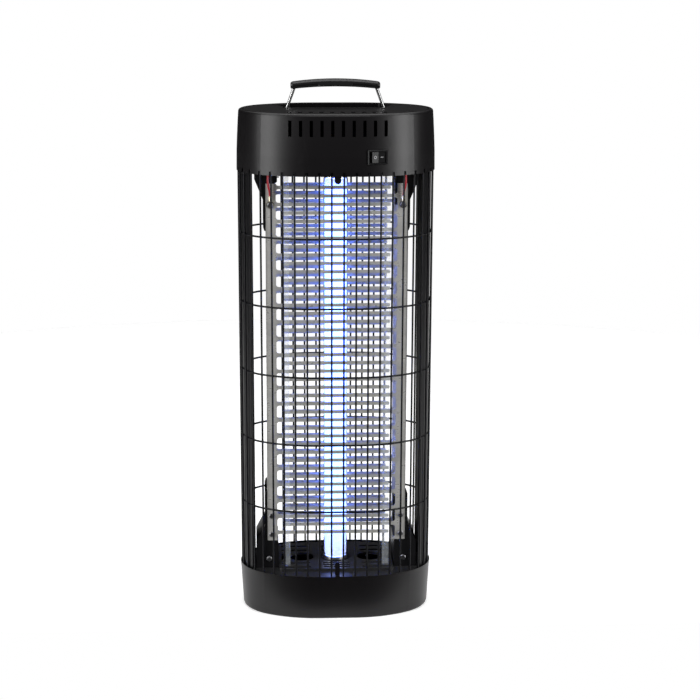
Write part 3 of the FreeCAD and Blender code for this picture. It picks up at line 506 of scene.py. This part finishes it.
def ringMark():
    mesh = bmesh.new()
    bmesh.ops.create_circle(mesh, cap_ends=True, radius=markLook["ring"],
                            segments=markLook["ringSteps"])
    inner = bmesh.ops.inset_region(mesh, faces=mesh.faces[:], thickness=markLook["line"],
                                   use_boundary=True, use_even_offset=True)
    middle = [f for f in mesh.faces if f not in inner["faces"]]
    bmesh.ops.delete(mesh, geom=middle, context="FACES")
    grown = bmesh.ops.extrude_face_region(mesh, geom=mesh.faces[:])["geom"]
    top = [g for g in grown if isinstance(g, bmesh.types.BMVert)]
    bmesh.ops.translate(mesh, verts=top, vec=(0, 0, markLook["proud"]))
    return mesh


def barMark():
    mesh = bmesh.new()
    width, height = markLook["bar"]
    size = Matrix.Diagonal((width, height, markLook["proud"] * 2, 1.0))
    bmesh.ops.create_cube(mesh, size=1.0, matrix=size)
    upright = [e for e in mesh.edges if abs((e.verts[0].co - e.verts[1].co).z) > markLook["proud"]]
    bmesh.ops.bevel(mesh, geom=upright, offset=height * markLook["barRound"], affect="EDGES",
                    segments=markLook["barSegments"], profile=0.5, material=-1)
    return mesh


ink = markInk()
makePiece("switch_mark_ring", onFlat(ringMark(), True), ink, "rocker", False)
makePiece("switch_mark_bar", onFlat(barMark(), False), ink, "rocker", False)


print("side columns")
# the step is the narrow sloping band just under the lip; skin is the depth that moves outwards
columnLook = {"outward": 2.3 * mm, "top": 481.4 * mm, "step": 0.4 * mm, "arcCentre": 49.82 * mm,
              "skin": 1.2 * mm, "merge": 0.01 * mm}


# the same wall as the frame's, with its outer face brought out behind the guard wires
def buildColumn(name, side):
    mesh = bmesh.new()
    mesh.from_mesh(nodes[name].data)
    bmesh.ops.remove_doubles(mesh, verts=mesh.verts, dist=columnLook["merge"])
    for height in (columnLook["top"], columnLook["top"] - columnLook["step"]):
        everything = mesh.verts[:] + mesh.edges[:] + mesh.faces[:]
        bmesh.ops.bisect_plane(mesh, geom=everything, plane_co=(0, 0, height), plane_no=(0, 0, 1))
    arcCentre = Vector((side * columnLook["arcCentre"], 0.0))
    reach = max((v.co.xy - arcCentre).length for v in mesh.verts) - columnLook["skin"]
    moving = columnLook["top"] - columnLook["step"] / 2
    for vert in mesh.verts:
        away = vert.co.xy - arcCentre
        if away.length > reach and vert.co.z < moving:
            step = away.normalized() * columnLook["outward"]
            vert.co.x += step.x
            vert.co.y += step.y
    return mesh


for sideName, side in (("left", -1), ("right", 1)):
    column = makePiece(sideName + "_column_wall", buildColumn(sideName + "_side_column", side),
                       slotMaterials["inner_black"], "main", False)
    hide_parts(sideName + "_side_column")


print("welds")
weldLook = {"radius": 1.0 * mm, "reach": 0.9 * mm, "flatter": 0.9, "ringCount": 5,
            "endDepth": 1.5 * mm, "apart": 3 * mm}


# the two ends of every upright wire, as pairs of points
def wireEnds():
    low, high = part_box("guard_wires")
    ends = []
    for level in (low.z, high.z):
        groups = []
        for vert in nodes["guard_wires"].data.vertices:
            if abs(vert.co.z - level) < weldLook["endDepth"]:
                near = [g for g in groups if (g[0] - vert.co).length < weldLook["apart"]]
                if near:
                    near[0].append(vert.co.copy())
                else:
                    groups.append([vert.co.copy()])
        ends.append([sum(g, Vector()) / len(g) for g in groups])
    return [(foot, min(ends[1], key=lambda top: (top - foot).xy.length)) for foot in ends[0]]


# a small bead wherever an upright wire meets a ring
def buildWelds():
    mesh = bmesh.new()
    wires = wireEnds()
    for number in range(1, weldLook["ringCount"] + 1):
        name = "guard_ring_%d" % number
        low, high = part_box(name)
        level = (low.z + high.z) / 2
        ringPoints = [v.co for v in nodes[name].data.vertices]
        for foot, top in wires:
            centre = foot.lerp(top, (level - foot.z) / (top.z - foot.z))
            nearest = min(ringPoints, key=lambda p: (p.xy - centre.xy).length)
            inward = Vector((nearest.x - centre.x, nearest.y - centre.y, 0)).normalized()
            place = Matrix.Translation(centre + inward * weldLook["reach"])
            flatter = Matrix.Diagonal((1.0, 1.0, weldLook["flatter"], 1.0))
            bmesh.ops.create_icosphere(mesh, subdivisions=1, radius=weldLook["radius"],
                                       matrix=place @ flatter)
    return mesh


makePiece("guard_weld_beads", buildWelds(), slotMaterials["guard_black"], "main")


print("floor, light and camera")
stageLook = {"radius": 1.5, "front": -0.085, "steps": 96, "sweep": 0.9, "lift": 0.34,
             "surround": 0.03, "backdrop": 1.0}


# matt and nearly white, lifted a little by its own light
def paleFloor():
    f = Finish("pale_floor")
    cloud = f.noise(3.0, 2.0)
    shade = f.mix(cloud, (stageLook["sweep"],) * 3, (stageLook["sweep"] - 0.01,) * 3)
    return f.surface({"Base Color": shade, "Roughness": 0.85, "Specular IOR Level": 0.1,
                      "Emission Color": (1.0, 1.0, 1.0, 1.0), "Emission Strength": stageLook["lift"]})


floorMesh = bmesh.new()
bmesh.ops.create_circle(floorMesh, cap_ends=True, radius=stageLook["radius"],
                        segments=stageLook["steps"])
everything = floorMesh.verts[:] + floorMesh.edges[:] + floorMesh.faces[:]
bmesh.ops.bisect_plane(floorMesh, geom=everything, plane_co=(0, stageLook["front"], 0),
                       plane_no=(0, -1, 0), clear_outer=True)
floorData = bpy.data.meshes.new("floor")
floorMesh.to_mesh(floorData)
floorMesh.free()
floorData.materials.append(paleFloor())
floor = bpy.data.objects.new("floor", floorData)
bpy.context.scene.collection.objects.link(floor)

# a white backdrop that lights the object only faintly
world = bpy.data.worlds.new("studio")
world.use_nodes = True
bpy.context.scene.world = world
tree = world.node_tree
tree.nodes.clear()
path = tree.nodes.new("ShaderNodeLightPath")
level = tree.nodes.new("ShaderNodeMapRange")
level.inputs["To Min"].default_value = stageLook["surround"]
level.inputs["To Max"].default_value = stageLook["backdrop"]
sky = tree.nodes.new("ShaderNodeBackground")
sky.inputs["Color"].default_value = (1.0, 1.0, 1.0, 1.0)
end = tree.nodes.new("ShaderNodeOutputWorld")
tree.links.new(path.outputs["Is Camera Ray"], level.inputs["Value"])
tree.links.new(level.outputs["Result"], sky.inputs["Strength"])
tree.links.new(sky.outputs["Background"], end.inputs["Surface"])

softboxes = {
    "left": {"at": (-1.75, -1.15, 0.75), "size": (0.55, 1.9), "power": 42.0},
    "right": {"at": (1.75, -1.15, 0.75), "size": (0.55, 1.9), "power": 42.0},
    "top": {"at": (0.0, 0.55, 2.8), "size": (3.0, 2.4), "power": 58.0},
    "upperFront": {"at": (0.0, -1.5, 2.3), "size": (1.6, 0.9), "power": 18.0},
}
middleHeight = 0.28
target = Vector((0.0, 0.0, middleHeight))
for name, box in softboxes.items():
    light = bpy.data.lights.new("softbox_" + name, "AREA")
    light.shape = "RECTANGLE"
    light.size, light.size_y = box["size"]
    light.energy = box["power"]
    softbox = bpy.data.objects.new("softbox_" + name, light)
    softbox.location = box["at"]
    softbox.rotation_euler = (target - Vector(box["at"])).to_track_quat("-Z", "Y").to_euler()
    softbox.visible_camera = False
    bpy.context.scene.collection.objects.link(softbox)

# angles in degrees, lens and sensor in millimetres
cameraLook = {"at": (-0.0839, -2.0920, 0.7658), "down": 12.544, "turn": 2.744, "roll": 0.165,
              "lens": 102.12, "sensor": 36.0, "shift": (-0.0009, -0.0197), "clipEnd": 20.0}
cameraData = bpy.data.cameras.new("camera")
cameraData.sensor_width = cameraLook["sensor"]
cameraData.lens = cameraLook["lens"]
cameraData.shift_x, cameraData.shift_y = cameraLook["shift"]
cameraData.clip_end = cameraLook["clipEnd"]
camera = bpy.data.objects.new("camera", cameraData)
facing = (Matrix.Rotation(math.radians(-cameraLook["turn"]), 4, "Z")
          @ Matrix.Rotation(math.radians(90.0 - cameraLook["down"]), 4, "X")
          @ Matrix.Rotation(math.radians(cameraLook["roll"]), 4, "Z"))
camera.matrix_world = Matrix.Translation(cameraLook["at"]) @ facing
bpy.context.scene.collection.objects.link(camera)
bpy.context.scene.camera = camera
bpy.context.scene.view_settings.view_transform = "Standard"
